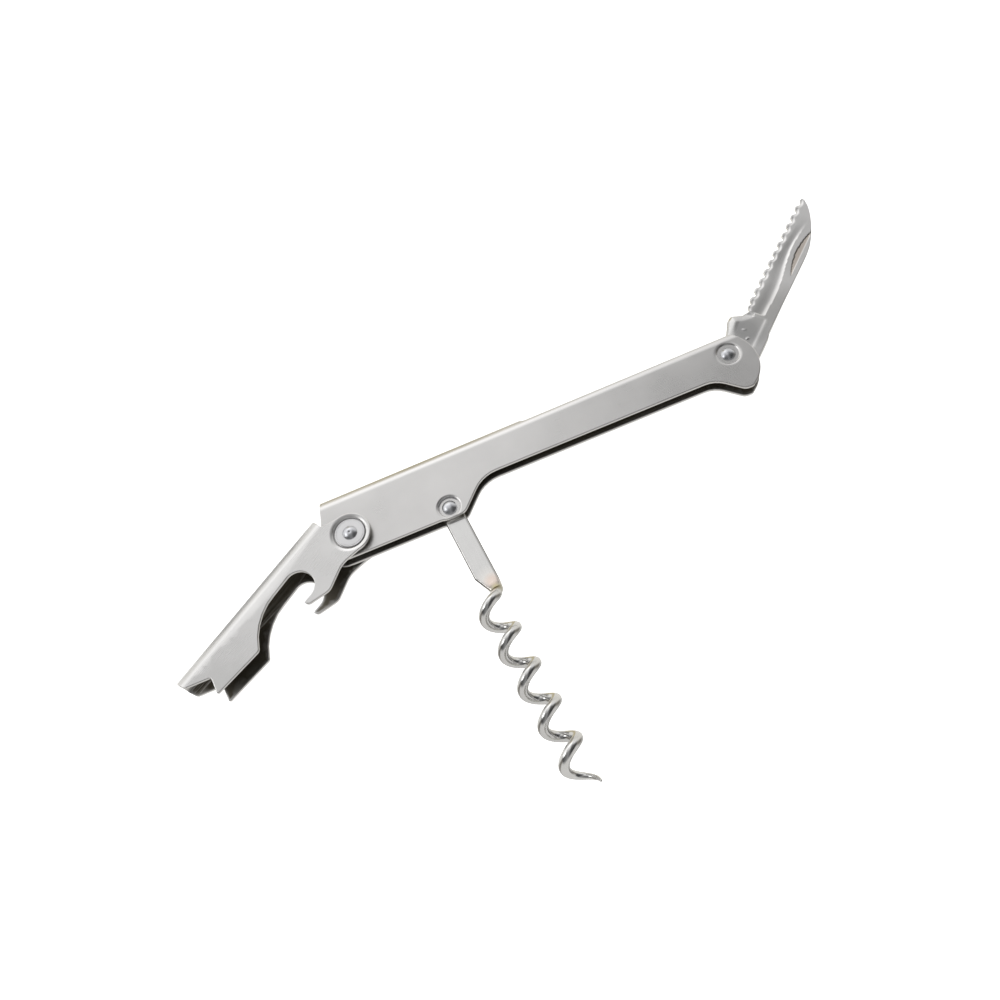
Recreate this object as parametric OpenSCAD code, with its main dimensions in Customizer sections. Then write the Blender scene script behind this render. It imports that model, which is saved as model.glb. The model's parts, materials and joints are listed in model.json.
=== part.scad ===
// Folding lever corkscrew (waiter's friend), all stainless sheet and wire, lying open on its side.
// Origin: on the lever's pivot axis, in the plane the tool rests on.
// +X runs along the handle to the knife end, +Y is the spine side, +Z is up, along every pivot.

/* [Sheet metal] */
// Thickness of the sheet that the handle, the lever and the knife are folded from
sheet_t = 0.9; // [0.8:0.05:1]
// Depth of the soft edge chamfer on rivet heads and washers
edge_soft = 0.15; // [0.1:0.05:0.2]

/* [Handle] */
// Outside width of the handle channel
handle_w = 4.8; // [4.7:0.1:5]
// Height of the spine above the lever pivot, at that pivot
spine_y = 12.9; // [12.5:0.1:13.5]
// Slope of the spine line, rising to the knife end
spine_rise = 0.55; // [0.3:0.05:0.7]
// Lower edge of the deep part of the handle
deep_edge_y = -5.65; // [-5.8:0.05:-5.4]
// Lower edge of the slim grip
grip_edge_y = 1.87; // [1.6:0.01:2]
// Start of the knife slot in the spine
slot_x = 50.5; // [49.5:0.5:51]
// Width of the knife slot
slot_w = 2.8; // [2.6:0.05:2.9]

/* [Lever] */
// Outside width of the lever channel
lever_w = 8.4; // [8.4:0.1:8.6]
// Length of the lever's spine beyond its pivot
lever_len = 53.9; // [53:0.1:54]
// Height of the lever's spine behind its pivot
lever_spine_v = 11.4; // [11.2:0.1:11.6]
// Outside radius of the two bends along the lever's spine
lever_bend_r = 3.6; // [3:0.1:4.2]
// Direction of the opened lever, measured from the handle
lever_angle = -147.8; // [-149:0.5:-147]
// Radius of the two pivot ears
ear_r = 5.4; // [5.3:0.05:5.5]

/* [Worm] */
// Place of the worm pivot along the handle
worm_x = 25.5; // [25.2:0.1:25.8]
// Place of the worm pivot across the handle
worm_y = -3; // [-3.2:0.05:-2.9]
// Direction of the opened worm, measured from the handle
worm_angle = -84.5; // [-86:0.5:-84]
// Width of the flattened shank
shank_w = 5.45; // [5.2:0.05:5.6]
// Thickness of the flattened shank
shank_t = 1.25; // [1.1:0.05:1.4]
// Wire diameter
wire_d = 2.5; // [2.3:0.05:2.6]
// Outside diameter of the helix
helix_d = 8.4; // [8:0.1:8.4]
// Rise of one turn
pitch = 10; // [9.8:0.1:10]
// Number of turns
turns = 5; // [4:0.5:5]
// Distance from the pivot to the first turn
helix_start = 25.75; // [25.5:0.05:26]

/* [Knife] */
// Place of the knife pivot along the handle
knife_x = 106.85; // [106.5:0.05:107]
// Place of the knife pivot across the handle
knife_y = 7.4; // [7.3:0.05:7.5]
// Direction of the half-open knife, measured from the handle
knife_angle = 42.2; // [30:0.1:60]
// Distance from the pivot to the point
knife_len = 55.1; // [54.5:0.1:55.3]
// Distance from the pivot's line to the blade's back
back_v = 7.2; // [7:0.05:7.3]
// Width over the folded tang
tang_w = 2.1; // [2:0.05:2.2]
// Spacing of the serrations
tooth_pitch = 3.29; // [3.2:0.01:3.3]
// Number of serrations
teeth = 11; // [10:11]

/* [Rivets] */
// Shaft radius of the lever rivet
lever_rivet_r = 1.5; // [1.3:0.05:1.6]
// Shaft radius of the worm and knife rivets
small_rivet_r = 1.25; // [1.1:0.05:1.3]
// Head radius of the three rivets
rivet_head_r = 1.85; // [1.8:0.05:2]
// Radius of the lever washers
washer_r = 3.9; // [3.7:0.05:4]
// Thickness of the lever washers
washer_t = 0.5; // [0.4:0.05:0.5]
// Radial play of each rivet in the piece that turns on it
running_fit = 0.05; // [0.02:0.01:0.08]
// Radius of the dishes round the lever rivet
lever_dish_r = 4.8; // [4.6:0.05:4.9]
// Radius of the dishes round the worm rivet
worm_dish_r = 2.6; // [2.4:0.05:2.7]
// Radius of the dishes round the knife rivet
knife_dish_r = 3.1; // [2.8:0.05:3.2]

/* [Hidden] */
$fn = 48;
mid_z = lever_w / 2;
handle_z = mid_z - handle_w / 2;
handle_in = handle_w - 2 * sheet_t;
lever_in = lever_w - 2 * sheet_t;
side_gap = 0.05;
ear_dish = (lever_in - handle_w) / 2 - side_gap;
worm_dish = (handle_in - shank_t) / 2 - side_gap;
knife_dish = (handle_in - tang_w) / 2 - side_gap;
dish_flare = 0.35;
over = 0.01;
corner_steps = 8;
// handle: length of sheet before trimming, its square end, and the round of its knife end
handle_len = 125;
handle_end_x = -7.2;
end_c = [103.6, 4.8];
end_r = 9.9;
side_h = 22;
// rivets: height of the domed heads and the ball they are cut from
dome_h = 0.95;
dome_ball_r = 3;
// worm: axis of the helix beside the shank's middle, its lean, and the rings of its skin
helix_r = (helix_d - wire_d) / 2;
helix_axis_t = -2.25;
helix_lean = 0.9;
rings_per_turn = 16;
ring_sides = 10;
lead_rings = 5;
lead_angle = 30;
taper_angle = 130;
tip_share = 0.14;
// knife: step in the back, start and radius of the belly, small heel tooth, first full tooth
step_v = 0.25;
belly_x = 37;
belly_r = 27;
heel_tooth = [16.3, 0];
heel_tooth_r = 0.95;
first_tooth_u = 18.75;
tooth_r = 1.1;
tang_crown_v = 4.2;
pip = [7.6, -2.8];
pip_r = 0.7;
pip_h = 0.2;
hollow_r = 6;
hollow_depth = 0.3;

// ---- outlines with round corners: each corner is [x, y, radius] ----
function unit(v) = v / norm(v);
function corner_points(a, b, c, r) =
  let (u = unit([a[0] - b[0], a[1] - b[1]]),
       w = unit([c[0] - b[0], c[1] - b[1]]),
       half = acos(u * w) / 2,
       p = [b[0], b[1]],
       centre = p + unit(u + w) * r / sin(half),
       from = p + u * r / tan(half) - centre,
       to = p + w * r / tan(half) - centre,
       a0 = atan2(from[1], from[0]),
       turn0 = atan2(to[1], to[0]) - a0,
       turn = turn0 > 180 ? turn0 - 360 : turn0 < -180 ? turn0 + 360 : turn0)
  [for (i = [0:corner_steps])
    let (a = a0 + turn * i / corner_steps)
    centre + r * [cos(a), sin(a)]];
function rounded(pts) =
  let (n = len(pts))
  [for (i = [0:n - 1])
    each (pts[i][2] == 0 ? [[pts[i][0], pts[i][1]]]
                         : corner_points(pts[(i + n - 1) % n], pts[i], pts[(i + 1) % n], pts[i][2]))];

// Cross-section of a folded channel, crown at y = 0, open downwards, standing on z = 0
module fold_profile(w, r, depth) {
  translate([-depth, 0]) square([depth - r, w]);
  if (w - 2 * r > over) translate([-r - over, r]) square([r + over, w - 2 * r]);
  for (z = [r, w - r]) translate([-r, z]) circle(r = r);
}

// A sheet folded along a straight crown line: from x = 0 to len, crown at y = 0, sides down to -depth
module folded_sheet(len, w, r, depth) {
  rotate([90, 0, 90])
    linear_extrude(height = len)
      difference() {
        fold_profile(w, r, depth);
        translate([-sheet_t, sheet_t]) fold_profile(w - 2 * sheet_t, r - sheet_t, depth);
      }
}

// Coined dish pressed into both sides of a channel of outside width w: the inside bosses that it adds
module dish_bosses(w, r, depth) {
  for (side = [0, 1]) mirror([0, 0, side]) translate([0, 0, -w / 2 + sheet_t - over])
    cylinder(r1 = r + dish_flare, r2 = r, h = depth + over);
}

// The hollows that the same dish leaves outside, with the rivet hole through both sides
module dish_hollows(w, r, depth, hole_r) {
  for (side = [0, 1]) mirror([0, 0, side]) translate([0, 0, -w / 2 - 1])
    cylinder(r1 = r + dish_flare / depth, r2 = r - dish_flare, h = depth + 1);
  translate([0, 0, -w]) cylinder(r = hole_r, h = 2 * w);
}

// ---- handle ----
module handle_outline() {
  intersection() {
    polygon(rounded([
      [-4.75, 15, 0], [handle_end_x, 3, 3], [handle_end_x + 0.3, deep_edge_y, 3.6],
      [22.4, deep_edge_y, 3], [24, -6.05, 3], [28.2, -6.05, 2.2], [36.3, grip_edge_y, 6],
      [100.4, grip_edge_y, 7], [106.4, -3.7, 2.6], [109, -3.7, 1.6], [116, 2, 0], [116, 17, 0]]));
    union() {
      translate(end_c) circle(r = end_r, $fn = 96);
      translate([-10, -10]) square([115, 30]);
    }
  }
}

module handle_channel() {
  color("#c4c3c1")
  difference() {
    intersection() {
      translate([0, 0, handle_z]) linear_extrude(height = handle_w) handle_outline();
      union() {
        rotate([0, 0, spine_rise]) translate([handle_end_x - 2, spine_y, handle_z])
          folded_sheet(handle_len, handle_w, handle_w / 2, side_h);
        translate([worm_x, worm_y, mid_z]) dish_bosses(handle_w, worm_dish_r, worm_dish);
        translate([knife_x, knife_y, mid_z]) dish_bosses(handle_w, knife_dish_r, knife_dish);
      }
    }
    translate([worm_x, worm_y, mid_z]) dish_hollows(handle_w, worm_dish_r, worm_dish, small_rivet_r);
    translate([knife_x, knife_y, mid_z]) dish_hollows(handle_w, knife_dish_r, knife_dish, small_rivet_r);
    cylinder(r = lever_rivet_r + running_fit, h = lever_w);
    rotate([0, 0, spine_rise]) translate([slot_x, spine_y - handle_w / 2, mid_z - slot_w / 2])
      cube([80, handle_w, slot_w]);
  }
}

// ---- lever: drawn along its own spine, then turned about its pivot ----
module lever_outline() {
  polygon(rounded([
    [3, -12, 0], [3, -7, 0.3], [-3.2, -4.4, 0], [-3, 4.2, 0], [1.2, 5, 1], [5.2, 3.4, 5],
    [14.4, 6.95, 4.6], [20.8, 4.1, 0.9], [20.4, 2.6, 0.5], [14.35, 2.75, 3.7], [14.35, -5.35, 3.9],
    [30.9, -5.1, 18], [36.2, 1.6, 1.3], [50.1, 0.4, 0.5], [48, -4, 0.8],
    [lever_len, -7.2, 1.2], [lever_len + 0.6, -12, 0]]));
  circle(r = ear_r);
}

module lever_channel() {
  color("#cbcaca")
  rotate([0, 0, lever_angle])
  difference() {
    union() {
      intersection() {
        linear_extrude(height = lever_w) lever_outline();
        translate([-10, -lever_spine_v, 0]) mirror([0, 1, 0])
          folded_sheet(lever_len + 10, lever_w, lever_bend_r, side_h);
      }
      translate([0, 0, mid_z]) dish_bosses(lever_w, lever_dish_r, ear_dish);
    }
    translate([0, 0, mid_z]) dish_hollows(lever_w, lever_dish_r, ear_dish, lever_rivet_r);
  }
}

// Flat washer under a head: its seat is at z = 0 and it rises to +z
module lever_washer() {
  difference() {
    union() {
      cylinder(r = washer_r, h = washer_t - edge_soft);
      translate([0, 0, washer_t - edge_soft])
        cylinder(r1 = washer_r, r2 = washer_r - edge_soft, h = edge_soft);
    }
    translate([0, 0, -1]) cylinder(r = lever_rivet_r, h = 3);
  }
}

module lever_washer_front() {
  color("#d6d6d8") translate([0, 0, lever_w - ear_dish]) lever_washer();
}

module lever_washer_back() {
  color("#d6d6d8") translate([0, 0, ear_dish]) mirror([0, 0, 1]) lever_washer();
}

// Tubular rivet: flat head at the back, flush with the lever; clinched head with a dimple in front
module lever_rivet() {
  head_h = ear_dish - washer_t;
  color("#b9bcc2")
  difference() {
    union() {
      cylinder(r = lever_rivet_r, h = lever_w);
      cylinder(r = rivet_head_r, h = head_h);
      translate([0, 0, lever_w - head_h])
        cylinder(r1 = rivet_head_r, r2 = rivet_head_r - edge_soft, h = head_h);
    }
    translate([0, 0, lever_w - 1.2]) cylinder(r1 = 0.5, r2 = 0.8, h = 1.21);
  }
}

// Spacer tube that keeps the handle's two sides apart while the lever rivet is clinched
module lever_bush() {
  color("#9a9a9a")
  translate([0, 0, mid_z - handle_in / 2])
    difference() {
      cylinder(r = lever_rivet_r + 1.1, h = handle_in);
      translate([0, 0, -1]) cylinder(r = lever_rivet_r + running_fit, h = handle_in + 2);
    }
}

// Domed rivet through a channel of outside width w whose dishes are d deep
module domed_rivet(w, d) {
  seat = w / 2 - d;
  cylinder(r = small_rivet_r, h = 2 * seat, center = true);
  for (side = [0, 1]) mirror([0, 0, side]) translate([0, 0, seat])
    intersection() {
      cylinder(r = rivet_head_r, h = dome_h);
      translate([0, 0, dome_h - dome_ball_r]) sphere(r = dome_ball_r);
    }
}

module worm_rivet() {
  color("#b9bcc2") translate([worm_x, worm_y, mid_z]) domed_rivet(handle_w, worm_dish);
}

module knife_rivet() {
  color("#b9bcc2") translate([knife_x, knife_y, mid_z]) domed_rivet(handle_w, knife_dish);
}

// ---- worm: x runs down the shank from the pivot, y across it, z along the pivot ----
function helix_at(a) = [helix_start + pitch * a / 360, helix_r * cos(a), helix_r * sin(a)];
function helix_dir(a) = unit([pitch / (2 * PI), -helix_r * sin(a), helix_r * cos(a)]);
// Lead-in from the flattened shank into the first turn, as a cubic from the shank's end to the helix
function lead_at(q) =
  let (p0 = [helix_start - 3.4, helix_r + 0.1, 0], d0 = [5, 0, 0], p1 = helix_at(lead_angle),
       d1 = helix_dir(lead_angle) * 4.5, q2 = q * q, q3 = q * q * q)
  (2 * q3 - 3 * q2 + 1) * p0 + (q3 - 2 * q2 + q) * d0 + (3 * q2 - 2 * q3) * p1 + (q3 - q2) * d1;
function worm_ring(c, d, out, across, thick) =
  let (n1 = unit(out - (out * d) * d), n2 = cross(d, n1))
  [for (i = [0:ring_sides - 1])
    c + across * cos(360 * i / ring_sides) * n1 + thick * sin(360 * i / ring_sides) * n2];
function tip_taper(a) =
  let (left = 360 * turns - a)
  left > taper_angle ? 1 : tip_share + (1 - tip_share) * sqrt(left / taper_angle);

module helix_wire() {
  steps = round((turns - lead_angle / 360) * rings_per_turn);
  lead = [for (i = [0:lead_rings - 1])
    let (q = i / lead_rings, grow = 0.56 + 0.44 * q)
    worm_ring(lead_at(q), unit(lead_at(q + 0.02) - lead_at(q - 0.02)), [0, 1, 0.2 * q],
              wire_d / 2 * (1.3 - 0.3 * q), wire_d / 2 * grow)];
  coil = [for (i = [0:steps])
    let (a = lead_angle + (360 * turns - lead_angle) * i / steps, r = wire_d / 2 * tip_taper(a))
    worm_ring(helix_at(a), helix_dir(a), [0, cos(a), sin(a)], r, r)];
  rings = concat(lead, coil);
  last = len(rings) - 1;
  polyhedron(
    points = [for (r = rings) each r],
    faces = concat(
      [[for (i = [0:ring_sides - 1]) i]],
      [[for (i = [ring_sides - 1:-1:0]) last * ring_sides + i]],
      [for (k = [0:last - 1], i = [0:ring_sides - 1])
        let (j = (i + 1) % ring_sides, b = k * ring_sides)
        each [[b + i, b + ring_sides + i, b + j], [b + j, b + ring_sides + i, b + ring_sides + j]]]));
}

module shank_outline() {
  half = shank_w / 2;
  polygon(rounded([
    [0, -half, 0], [20, -half, 1.2], [25.2, -0.75, 0.4], [26, 1.3, 0.5], [24.4, half, 2.5], [0, half, 0]]));
  circle(r = half);
}

module worm() {
  color("#b4b4b2")
  translate([worm_x, worm_y, mid_z])
  rotate([0, 0, worm_angle])
  difference() {
    union() {
      translate([0, 0, -shank_t / 2]) linear_extrude(height = shank_t) shank_outline();
      translate([helix_start, helix_axis_t, 0]) rotate([0, 0, helix_lean])
        translate([-helix_start, 0, 0]) helix_wire();
    }
    translate([0, 0, -2]) cylinder(r = small_rivet_r + running_fit, h = 4);
  }
}

// ---- knife: x runs from the pivot to the point, y towards the cutting edge ----
module blade_outline() {
  intersection() {
    polygon([[8, -back_v - step_v], [10.4, -back_v - step_v], [10.7, -back_v], [knife_len, -back_v],
             [knife_len, 0.4], [knife_len - 1, 0.75], [knife_len - 2.4, 0.2], [8, 0.2]]);
    union() {
      translate([belly_x, belly_r - back_v]) circle(r = belly_r, $fn = 128);
      translate([0, -12]) square([belly_x, 20]);
    }
  }
  translate(heel_tooth) circle(r = heel_tooth_r, $fn = 24);
  for (i = [0:teeth - 1])
    translate([first_tooth_u + i * tooth_pitch, 0.25]) circle(r = tooth_r, $fn = 24);
}

module tang_outline() {
  polygon(rounded([
    [-4, -4.6, 3], [-4, 3.2, 3], [5, 2.6, 0], [12, 4.6, 1.6], [15.4, -0.2, 0],
    [15.2, -4, 0], [10.4, -back_v - step_v, 0], [1, -back_v - step_v, 2]]));
}

module knife_blade() {
  color("#a9a8a5")
  translate([knife_x, knife_y, mid_z])
  rotate([0, 0, knife_angle])
  difference() {
    union() {
      translate([0, 0, tang_w / 2 - sheet_t]) linear_extrude(height = sheet_t) blade_outline();
      intersection() {
        translate([0, 0, -tang_w / 2]) linear_extrude(height = tang_w) tang_outline();
        translate([-10, tang_crown_v, -tang_w / 2]) folded_sheet(40, tang_w, tang_w / 2, 20);
      }
      for (side = [0, 1]) mirror([0, 0, side]) translate([pip[0], pip[1], tang_w / 2 - over])
        cylinder(r1 = pip_r, r2 = pip_r / 2, h = pip_h);
    }
    translate([0, 0, -3]) cylinder(r = small_rivet_r + running_fit, h = 6);
    translate([15.4, -2.2, tang_w / 2 + hollow_r - hollow_depth]) rotate([0, 90, 2])
      cylinder(r = hollow_r, h = 26);
  }
}

handle_channel();
lever_channel();
lever_rivet();
lever_washer_front();
lever_washer_back();
lever_bush();
worm();
worm_rivet();
knife_blade();
knife_rivet();
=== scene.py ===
"""Folding lever corkscrew: the looks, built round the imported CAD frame.

Lengths are in millimetres and become metres where a mesh is made. Each piece is drawn in its own plan:
the handle along its spine, the lever, worm and knife from their pivots. +z is along every pivot.
"""

import json
import math

import bmesh
import bpy
import numpy as np
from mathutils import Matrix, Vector
from mathutils.geometry import delaunay_2d_cdt


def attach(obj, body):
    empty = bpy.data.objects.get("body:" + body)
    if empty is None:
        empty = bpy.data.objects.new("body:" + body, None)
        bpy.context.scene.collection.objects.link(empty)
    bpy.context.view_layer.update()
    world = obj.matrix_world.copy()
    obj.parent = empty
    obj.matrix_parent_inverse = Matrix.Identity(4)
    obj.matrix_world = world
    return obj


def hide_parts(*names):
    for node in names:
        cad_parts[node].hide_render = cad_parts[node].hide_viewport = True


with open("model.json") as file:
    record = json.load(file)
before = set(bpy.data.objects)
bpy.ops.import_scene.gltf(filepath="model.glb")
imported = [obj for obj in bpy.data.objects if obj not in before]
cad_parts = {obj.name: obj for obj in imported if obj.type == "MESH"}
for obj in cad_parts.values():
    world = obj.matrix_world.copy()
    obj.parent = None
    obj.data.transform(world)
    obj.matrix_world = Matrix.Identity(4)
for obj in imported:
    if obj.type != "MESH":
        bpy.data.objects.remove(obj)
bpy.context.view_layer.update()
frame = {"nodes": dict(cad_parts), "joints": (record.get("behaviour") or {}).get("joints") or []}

MM = 0.001
PIVOT = {j["name"]: [c / MM for c in j["pos_m"]] for j in frame["joints"]}
LEVER_PIVOT = PIVOT["lever_hinge"]
WORM_PIVOT = PIVOT["worm_hinge"]
KNIFE_PIVOT = PIVOT["knife_hinge"]
MID_Z = LEVER_PIVOT[2]
SHEET_T = 0.9
SPINE_RISE = 0.55
LEVER_ANGLE = -147.8
WORM_ANGLE = -84.5
KNIFE_ANGLE = 42.2


# ---------------------------------------------------------------- plane geometry


def unit(v):
    n = math.hypot(v[0], v[1])
    return (v[0] / n, v[1] / n)


def turned(p, angle):
    a = math.radians(angle)
    return (p[0] * math.cos(a) - p[1] * math.sin(a), p[0] * math.sin(a) + p[1] * math.cos(a))


def smooth(t):
    t = min(1.0, max(0.0, t))
    return t * t * (3 - 2 * t)


def corner(a, b, c, r, step=9.0):
    """The round of radius r that replaces corner b between a and c."""
    u = unit((a[0] - b[0], a[1] - b[1]))
    w = unit((c[0] - b[0], c[1] - b[1]))
    dot = max(-1.0, min(1.0, u[0] * w[0] + u[1] * w[1]))
    half = math.acos(dot) / 2
    m = unit((u[0] + w[0], u[1] + w[1]))
    centre = (b[0] + m[0] * r / math.sin(half), b[1] + m[1] * r / math.sin(half))
    start = (b[0] + u[0] * r / math.tan(half) - centre[0], b[1] + u[1] * r / math.tan(half) - centre[1])
    end = (b[0] + w[0] * r / math.tan(half) - centre[0], b[1] + w[1] * r / math.tan(half) - centre[1])
    a0 = math.atan2(start[1], start[0])
    turn = math.atan2(end[1], end[0]) - a0
    turn = (turn + math.pi) % (2 * math.pi) - math.pi
    n = max(3, int(abs(math.degrees(turn)) / step))
    return [
        (centre[0] + r * math.cos(a0 + turn * i / n), centre[1] + r * math.sin(a0 + turn * i / n))
        for i in range(n + 1)
    ]


def rounded(points, closed=False):
    """Points are (x, y) or (x, y, radius): each radius rounds its corner."""
    out = []
    n = len(points)
    for i, p in enumerate(points):
        if len(p) == 2 or p[2] == 0 or (not closed and i in (0, n - 1)):
            out.append((p[0], p[1]))
        else:
            out += corner(points[i - 1], p, points[(i + 1) % n], p[2])
    return out


def line_at(points, u):
    """Straight lines through (u, value) points, level beyond both ends."""
    if u <= points[0][0]:
        return points[0][1]
    for a, b in zip(points, points[1:]):
        if u <= b[0]:
            return a[1] + (b[1] - a[1]) * (u - a[0]) / (b[0] - a[0])
    return points[-1][1]


def polar(r, degrees, cx=0.0, cy=0.0):
    a = math.radians(degrees)
    return (cx + r * math.cos(a), cy + r * math.sin(a))


def circle(cx, cy, r, n):
    angles = [2 * math.pi * i / n for i in range(n)]
    return [(cx + r * math.cos(a), cy + r * math.sin(a)) for a in angles]


def area(loop):
    return sum(a[0] * b[1] - b[0] * a[1] for a, b in zip(loop, loop[1:] + loop[:1])) / 2


def inside(p, loops):
    """Even-odd test of a point against several closed loops."""
    hit = False
    for loop in loops:
        for a, b in zip(loop, loop[1:] + loop[:1]):
            if (a[1] > p[1]) != (b[1] > p[1]):
                if p[0] < a[0] + (p[1] - a[1]) * (b[0] - a[0]) / (b[1] - a[1]):
                    hit = not hit
    return hit


def thinned(loop, gap=0.02):
    """The loop without points that are nearly on top of the one before."""
    out = []
    for p in loop:
        if not out or math.dist(p, out[-1]) > gap:
            out.append(p)
    if math.dist(out[0], out[-1]) <= gap:
        out.pop()
    return out


def crossed(loop, rows):
    """The loop with a point added wherever it crosses a row, a line of constant second coordinate."""
    out = []
    for a, b in zip(loop, loop[1:] + loop[:1]):
        out.append(a)
        cuts = []
        for row in rows:
            if (a[1] - row) * (b[1] - row) < 0:
                t = (row - a[1]) / (b[1] - a[1])
                cuts.append((t, (a[0] + t * (b[0] - a[0]), row)))
        out += [p for t, p in sorted(cuts)]
    return thinned(out)


# ---------------------------------------------------------------- meshes


def make(name, verts, faces, normals, material, body, replaces=(), values=None):
    """A mesh object in metres with its own vertex normals, riding on a CAD body."""
    mesh = bpy.data.meshes.new(name)
    mesh.from_pydata([Vector(v) * MM for v in verts], [], faces)
    mesh.polygons.foreach_set("use_smooth", [True] * len(mesh.polygons))
    for key, column in (values or {}).items():
        attribute = mesh.attributes.new(key, "FLOAT", "POINT")
        attribute.data.foreach_set("value", column)
    mesh.validate()
    if not normals:
        normals = [Vector((0, 0, 0)) for v in mesh.vertices]
        for face in mesh.polygons:
            for i in face.vertices:
                normals[i] += face.normal * face.area
    mesh.normals_split_custom_set_from_vertices([Vector(n).normalized() for n in normals])
    obj = bpy.data.objects.new(name, mesh)
    bpy.context.collection.objects.link(obj)
    obj.data.materials.append(material)
    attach(obj, body)
    if replaces:
        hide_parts(*replaces)
    return obj


RIM = [22.5, 45.0, 67.5, 90.0, -90.0, 112.5, 135.0, 157.5]


def sheet_mesh(outline, place, half, edge, rows=(), rings=(), holes=(), points=()):
    """A closed sheet over a plane outline.

    place(x, y, n) gives the 3-D point, n from -1 (inner skin) to 1 (outer skin); half(x, y) is half the
    thickness, edge(x, y) the radius of the rim. rows are fold lines, rings circles to follow, holes circles
    cut out, points further places for vertices. Returns verts, faces, normals, rim values and the plane
    places of one skin's vertices (the outer skin comes first, then the inner one, then the rims).
    """
    if area(outline) < 0:
        outline = outline[::-1]
    outline = crossed(thinned(outline), rows)
    loops = [outline] + [circle(cx, cy, r, n)[::-1] for cx, cy, r, n in holes]
    inset, outward = [], []
    for loop in loops:
        ins, outs = [], []
        for i, p in enumerate(loop):
            a, b = loop[i - 1], loop[(i + 1) % len(loop)]
            t0 = unit((p[0] - a[0], p[1] - a[1]))
            t1 = unit((b[0] - p[0], b[1] - p[1]))
            n0, n1 = (t0[1], -t0[0]), (t1[1], -t1[0])
            m = unit((n0[0] + n1[0], n0[1] + n1[1])) if n0[0] * n1[0] + n0[1] * n1[1] > -0.99 else n0
            stretch = min(1.6, 1 / max(0.3, m[0] * n0[0] + m[1] * n0[1]))
            e = edge(*p)
            outs.append((m[0] * stretch * e, m[1] * stretch * e))
            ins.append((p[0] - outs[-1][0], p[1] - outs[-1][1]))
        inset.append(ins)
        outward.append(outs)
    coords, edges = [], []
    for ins in inset:
        base = len(coords)
        coords += ins
        edges += [(base + i, base + (i + 1) % len(ins)) for i in range(len(ins))]
    for row in rows:
        on = sorted(i for i, p in enumerate(outline) if abs(p[1] - row) < 1e-9)
        on.sort(key=lambda i: outline[i][0])
        for i, j in zip(on, on[1:]):
            middle = ((outline[i][0] + outline[j][0]) / 2, row)
            if inside(middle, [outline]):
                edges.append((i, j))
    for cx, cy, radii, n in rings:
        for r in radii:
            ring = circle(cx, cy, r, n)
            base = len(coords)
            keep = [inside(p, inset) for p in ring]
            coords += ring
            edges += [
                (base + i, base + (i + 1) % n) for i in range(n) if keep[i] and keep[(i + 1) % n]
            ]
    coords += [p for p in points if inside(p, inset)]
    got = delaunay_2d_cdt([Vector(p) for p in coords], edges, [], 0, 1e-6)
    plane = [tuple(v) for v in got[0]]
    came = {}
    for new, olds in enumerate(got[3]):
        for old in olds:
            came[old] = new
    tris = []
    for f in got[2]:
        c = [sum(plane[i][k] for i in f) / len(f) for k in range(2)]
        if inside(c, inset):
            a, b, d = (plane[i] for i in f[:3])
            flip = (b[0] - a[0]) * (d[1] - a[1]) - (b[1] - a[1]) * (d[0] - a[0]) < 0
            tris.append(tuple(reversed(f)) if flip else tuple(f))
    used = sorted({i for t in tris for i in t})
    number = {old: new for new, old in enumerate(used)}
    count = len(used)

    def frame_at(x, y, n):
        h = 0.02
        px, py = Vector(place(x + h, y, n)), Vector(place(x, y + h, n))
        qx, qy = Vector(place(x - h, y, n)), Vector(place(x, y - h, n))
        tx, ty = (px - qx).normalized(), (py - qy).normalized()
        return tx, ty, tx.cross(ty).normalized() * hand

    # frame_at's third axis has to point from the inner skin to the outer one
    hand = 1
    through = Vector(place(*plane[used[0]], 1)) - Vector(place(*plane[used[0]], -1))
    hand = 1 if frame_at(*plane[used[0]], 1)[2].dot(through) > 0 else -1
    verts, normals, rim, faces = [], [], [], []
    for side in (1, -1):
        for i in used:
            x, y = plane[i]
            verts.append(place(x, y, side))
            normals.append(frame_at(x, y, side)[2] * side)
            rim.append(0.0)
    faces += [tuple(number[i] for i in t) for t in tris]
    faces += [tuple(count + number[i] for i in reversed(t)) for t in tris]
    start = 0
    for loop, ins, outs in zip(loops, inset, outward):
        n = len(loop)
        top = [number[came[start + i]] for i in range(n)]
        bottom = [count + k for k in top]
        bands = [top]
        for alpha in RIM:
            lower = alpha < 0
            alpha = abs(alpha)
            s, c = math.sin(math.radians(alpha)), math.cos(math.radians(alpha))
            band = []
            for i in range(n):
                h = half(*ins[i])
                e = math.hypot(*outs[i])
                ez = min(edge(*loop[i]), h)
                sign = -1 if lower or alpha > 90 else 1
                level = sign * ((h - ez) + ez * abs(c)) / h
                x, y = ins[i][0] + outs[i][0] * s, ins[i][1] + outs[i][1] * s
                tx, ty, up = frame_at(ins[i][0], ins[i][1], 1 if level > 0 else -1)
                direction = (tx * outs[i][0] + ty * outs[i][1]) / max(e, 1e-9)
                band.append(len(verts))
                verts.append(place(x, y, level))
                normals.append(up * (c * e) + direction.normalized() * (s * ez))
                rim.append(s)
            bands.append(band)
        bands.append(bottom)
        for a, b in zip(bands, bands[1:]):
            faces += [(a[i], b[i], b[(i + 1) % n], a[(i + 1) % n]) for i in range(n)]
        start += n
    if hand < 0:
        faces = [f[::-1] for f in faces]
    return verts, faces, normals, rim, [plane[i] for i in used]


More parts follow.
